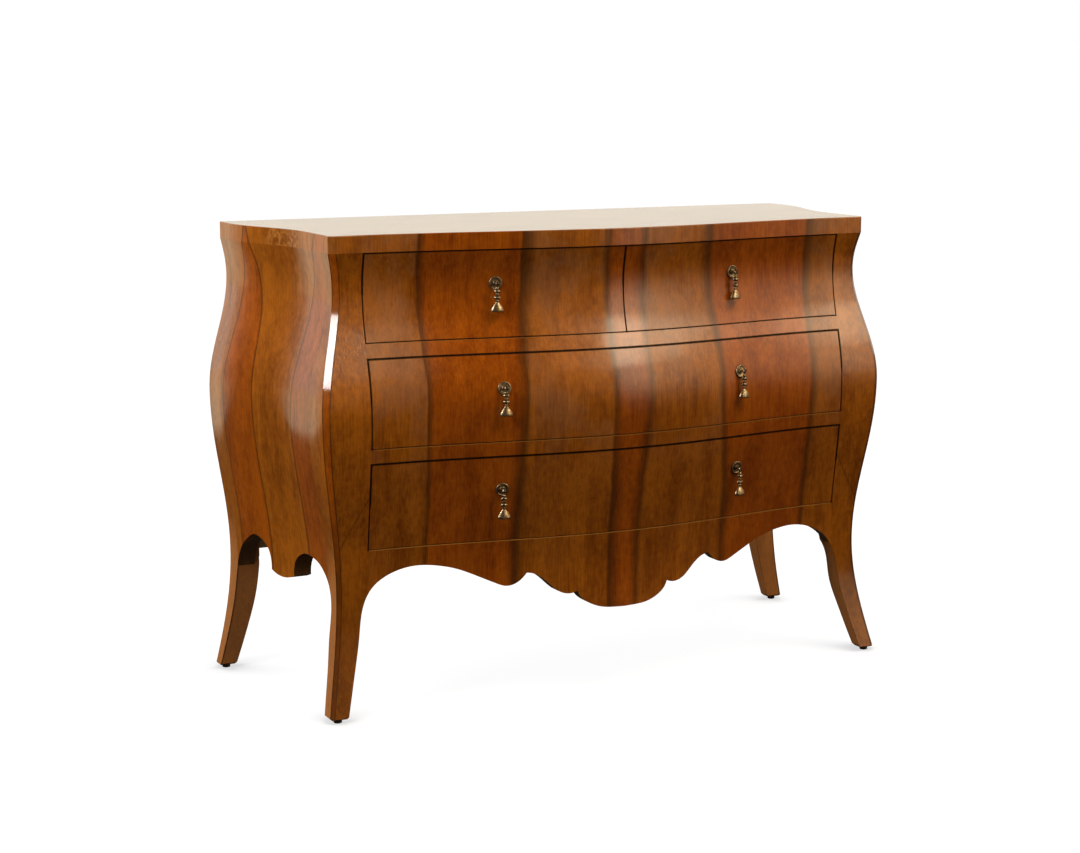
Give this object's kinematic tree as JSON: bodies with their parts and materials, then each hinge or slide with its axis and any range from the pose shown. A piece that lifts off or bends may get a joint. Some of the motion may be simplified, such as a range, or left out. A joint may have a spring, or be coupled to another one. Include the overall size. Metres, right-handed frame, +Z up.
{
  "type": "bombe chest",
  "caption": "Bombe chest of drawers with a bowed, swelling front, ogee sides, sawn apron, tapering splayed legs and hanging tassel pulls.",
  "frame": {"origin": "middle of the footprint, on the floor", "axes": "+X to the viewer's right along the front, -Y out of the front where the drawers open, +Z up"},
  "size_m": [1.333, 0.5335, 0.9],
  "materials": {
    "walnut_veneer": "satin lacquer over figured veneer",
    "inner_wood": "plain sealed wood",
    "antique_brass": "antique, lightly polished on the high spots",
    "glide_black": "matt",
    "screw_steel": "zinc plated"
  },
  "bodies": {
    "carcass": {"top_panel": "walnut_veneer", "left_side_panel": "walnut_veneer", "right_side_panel": "walnut_veneer", "front_left_post": "walnut_veneer", "front_right_post": "walnut_veneer", "back_left_post": "walnut_veneer", "back_right_post": "walnut_veneer", "back_panel": "inner_wood", "back_top_rail": "inner_wood", "back_bottom_rail": "inner_wood", "upper_front_rail": "walnut_veneer", "lower_front_rail": "walnut_veneer", "front_apron": "walnut_veneer", "centre_partition": "inner_wood", "centre_runner": "inner_wood", "upper_dust_panel": "inner_wood", "lower_dust_panel": "inner_wood", "bottom_panel": "inner_wood", "upper_left_runner": "inner_wood", "upper_right_runner": "inner_wood", "middle_left_runner": "inner_wood", "middle_right_runner": "inner_wood", "lower_left_runner": "inner_wood", "lower_right_runner": "inner_wood", "drawer_stops": "inner_wood", "back_screws": "screw_steel", "foot_glides": "glide_black"},
    "upper_left_drawer": {"upper_left_drawer_front": "walnut_veneer", "upper_left_drawer_left_side": "inner_wood", "upper_left_drawer_right_side": "inner_wood", "upper_left_drawer_back": "inner_wood", "upper_left_drawer_bottom": "inner_wood", "upper_left_pull_mount": "antique_brass"},
    "upper_right_drawer": {"upper_right_drawer_front": "walnut_veneer", "upper_right_drawer_left_side": "inner_wood", "upper_right_drawer_right_side": "inner_wood", "upper_right_drawer_back": "inner_wood", "upper_right_drawer_bottom": "inner_wood", "upper_right_pull_mount": "antique_brass"},
    "middle_drawer": {"middle_drawer_front": "walnut_veneer", "middle_drawer_left_side": "inner_wood", "middle_drawer_right_side": "inner_wood", "middle_drawer_back": "inner_wood", "middle_drawer_bottom": "inner_wood", "middle_left_pull_mount": "antique_brass", "middle_right_pull_mount": "antique_brass"},
    "lower_drawer": {"lower_drawer_front": "walnut_veneer", "lower_drawer_left_side": "inner_wood", "lower_drawer_right_side": "inner_wood", "lower_drawer_back": "inner_wood", "lower_drawer_bottom": "inner_wood", "lower_left_pull_mount": "antique_brass", "lower_right_pull_mount": "antique_brass"},
    "upper_left_drop": {"upper_left_pull_drop": "antique_brass"},
    "upper_right_drop": {"upper_right_pull_drop": "antique_brass"},
    "middle_left_drop": {"middle_left_pull_drop": "antique_brass"},
    "middle_right_drop": {"middle_right_pull_drop": "antique_brass"},
    "lower_left_drop": {"lower_left_pull_drop": "antique_brass"},
    "lower_right_drop": {"lower_right_pull_drop": "antique_brass"}
  },
  "joints": [
    {"name": "upper_left_drawer_slide", "type": "slide", "parent": "carcass", "child": "upper_left_drawer", "axis": [0, -1, 0], "range_m": [0, 0.3]},
    {"name": "upper_right_drawer_slide", "type": "slide", "parent": "carcass", "child": "upper_right_drawer", "axis": [0, -1, 0], "range_m": [0, 0.3]},
    {"name": "middle_drawer_slide", "type": "slide", "parent": "carcass", "child": "middle_drawer", "axis": [0, -1, 0], "range_m": [0, 0.3]},
    {"name": "lower_drawer_slide", "type": "slide", "parent": "carcass", "child": "lower_drawer", "axis": [0, -1, 0], "range_m": [0, 0.3]},
    {"name": "upper_left_drop_swing", "type": "hinge", "parent": "upper_left_drawer", "child": "upper_left_drop", "pos_m": [-0.25881, -0.21117, 0.80258], "axis": [-0.987, 0.161, 0], "range_deg": [0, 80]},
    {"name": "upper_right_drop_swing", "type": "hinge", "parent": "upper_right_drawer", "child": "upper_right_drop", "pos_m": [0.25881, -0.21117, 0.80258], "axis": [-0.987, -0.161, 0], "range_deg": [0, 80]},
    {"name": "middle_left_drop_swing", "type": "hinge", "parent": "middle_drawer", "child": "middle_left_drop", "pos_m": [-0.25879, -0.24942, 0.61132], "axis": [-0.987, 0.161, 0], "range_deg": [0, 80]},
    {"name": "middle_right_drop_swing", "type": "hinge", "parent": "middle_drawer", "child": "middle_right_drop", "pos_m": [0.25879, -0.24942, 0.61132], "axis": [-0.987, -0.161, 0], "range_deg": [0, 80]},
    {"name": "lower_left_drop_swing", "type": "hinge", "parent": "lower_drawer", "child": "lower_left_drop", "pos_m": [-0.25878, -0.23825, 0.41416], "axis": [-0.987, 0.161, 0], "range_deg": [0, 80]},
    {"name": "lower_right_drop_swing", "type": "hinge", "parent": "lower_drawer", "child": "lower_right_drop", "pos_m": [0.25878, -0.23825, 0.41416], "axis": [-0.987, -0.161, 0], "range_deg": [0, 80]}
  ]
}
